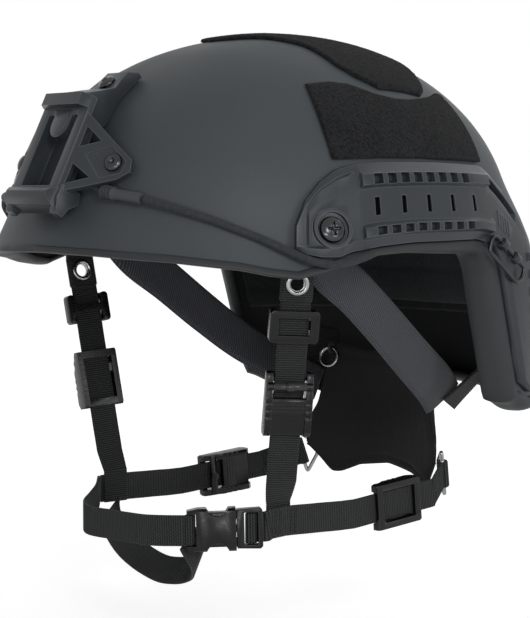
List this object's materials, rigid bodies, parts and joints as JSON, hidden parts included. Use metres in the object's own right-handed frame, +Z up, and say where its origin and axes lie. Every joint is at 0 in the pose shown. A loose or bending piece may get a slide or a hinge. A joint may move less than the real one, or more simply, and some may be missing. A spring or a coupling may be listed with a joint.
{
  "type": "combat helmet",
  "caption": "Open-face protective helmet with padded liner, ear cuts, side accessory rails, a front device mount, loop panels and an adjustable chin harness with a side release buckle.",
  "frame": {"origin": "middle of the head opening at the height of the shell's brow edge, where the wearer's head sits", "axes": "+Z up to the crown, -Y to the front, +X to the wearer's left"},
  "size_m": [0.2524, 0.2938, 0.2865],
  "materials": {
    "shell_composite": "fine matte charcoal paint",
    "rubber_trim": "matte black rubber",
    "loop_fabric": "black loop pile",
    "liner_padding": "dark grey mesh over foam",
    "nape_fabric": "plain black knit",
    "webbing": "black ribbed webbing",
    "steel_wire": "plain steel wire",
    "black_screws": "black pan heads",
    "hardware_plastic": "black moulded plastic"
  },
  "bodies": {
    "helmet": {"shell": "shell_composite", "edge_trim": "rubber_trim", "crown_loop_panel": "loop_fabric", "left_loop_panel": "loop_fabric", "right_loop_panel": "loop_fabric", "headband": "liner_padding", "crown_cushion": "liner_padding", "brow_cushion": "liner_padding", "rear_cushion": "liner_padding", "left_cushion": "liner_padding", "right_cushion": "liner_padding", "liner_rivets": "hardware_plastic", "mount_frame": "hardware_plastic", "mount_screws": "black_screws", "left_rail": "hardware_plastic", "right_rail": "hardware_plastic", "rail_screws": "black_screws", "left_elastic": "rubber_trim", "right_elastic": "rubber_trim", "left_elastic_boot": "rubber_trim", "right_elastic_boot": "rubber_trim", "left_strap_tab": "webbing", "right_strap_tab": "webbing", "strap_eyelets": "steel_wire", "left_front_strap": "webbing", "right_front_strap": "webbing", "left_rear_strap": "webbing", "right_rear_strap": "webbing", "left_padded_band": "liner_padding", "right_padded_band": "liner_padding", "nape_pad": "nape_fabric", "left_rear_tie": "webbing", "right_rear_tie": "webbing", "buckle_male": "hardware_plastic", "chin_band": "webbing", "under_chin_strap": "webbing"},
    "left_bail": {"left_bail": "steel_wire"},
    "right_bail": {"right_bail": "steel_wire"},
    "left_nape_ring": {"left_nape_ring": "steel_wire"},
    "right_nape_ring": {"right_nape_ring": "steel_wire"},
    "pull_ring": {"pull_ring": "steel_wire"},
    "left_slide_loop": {"left_slide_loop": "hardware_plastic"},
    "right_slide_loop": {"right_slide_loop": "hardware_plastic"},
    "left_front_lock": {"left_front_lock": "hardware_plastic"},
    "right_front_lock": {"right_front_lock": "hardware_plastic"},
    "left_rear_lock": {"left_rear_lock": "hardware_plastic"},
    "right_rear_lock": {"right_rear_lock": "hardware_plastic"},
    "buckle_half": {"buckle_female": "hardware_plastic"}
  },
  "joints": [
    {"name": "left_bail_swing", "type": "hinge", "parent": "helmet", "child": "left_bail", "pos_m": [0.11523, 0.07257, -0.0005], "axis": [-0.1129, 0.8014, -0.5873], "range_deg": [-100, 0]},
    {"name": "right_bail_swing", "type": "hinge", "parent": "helmet", "child": "right_bail", "pos_m": [-0.11523, 0.07257, -0.0005], "axis": [0.1129, 0.8014, -0.5873], "range_deg": [0, 100]},
    {"name": "left_nape_ring_swing", "type": "hinge", "parent": "helmet", "child": "left_nape_ring", "pos_m": [0.059, 0.081, -0.121], "axis": [0.1588, -0.2514, 0.9548], "range_deg": [-30, 0]},
    {"name": "right_nape_ring_swing", "type": "hinge", "parent": "helmet", "child": "right_nape_ring", "pos_m": [-0.059, 0.081, -0.121], "axis": [-0.1588, -0.2514, 0.9548], "range_deg": [0, 30]},
    {"name": "pull_ring_swing", "type": "hinge", "parent": "helmet", "child": "pull_ring", "pos_m": [-0.038, 0.08569, -0.0598], "axis": [0.9266, 0.3761, 0], "range_deg": [-40, 0]},
    {"name": "left_loop_slide", "type": "slide", "parent": "helmet", "child": "left_slide_loop", "axis": [-0.1856, 0.0549, -0.9811], "range_m": [-0.002, 0.006]},
    {"name": "right_loop_slide", "type": "slide", "parent": "helmet", "child": "right_slide_loop", "axis": [0.1856, 0.0549, -0.9811], "range_m": [-0.002, 0.006]},
    {"name": "left_front_adjust", "type": "slide", "parent": "helmet", "child": "left_front_lock", "axis": [-0.1856, 0.0549, -0.9811], "range_m": [-0.004, 0.012]},
    {"name": "right_front_adjust", "type": "slide", "parent": "helmet", "child": "right_front_lock", "axis": [0.1856, 0.0549, -0.9811], "range_m": [-0.004, 0.012]},
    {"name": "left_rear_adjust", "type": "slide", "parent": "helmet", "child": "left_rear_lock", "axis": [-0.0349, 0.9956, 0.0873], "range_m": [-0.008, 0.008]},
    {"name": "right_rear_adjust", "type": "slide", "parent": "helmet", "child": "right_rear_lock", "axis": [0.0349, 0.9956, 0.0873], "range_m": [-0.008, 0.008]},
    {"name": "buckle_release", "type": "slide", "parent": "helmet", "child": "buckle_half", "axis": [-0.5834, -0.8118, -0.0254], "range_m": [0, 0.02], "deforming": ["chin_band", "under_chin_strap"]}
  ]
}
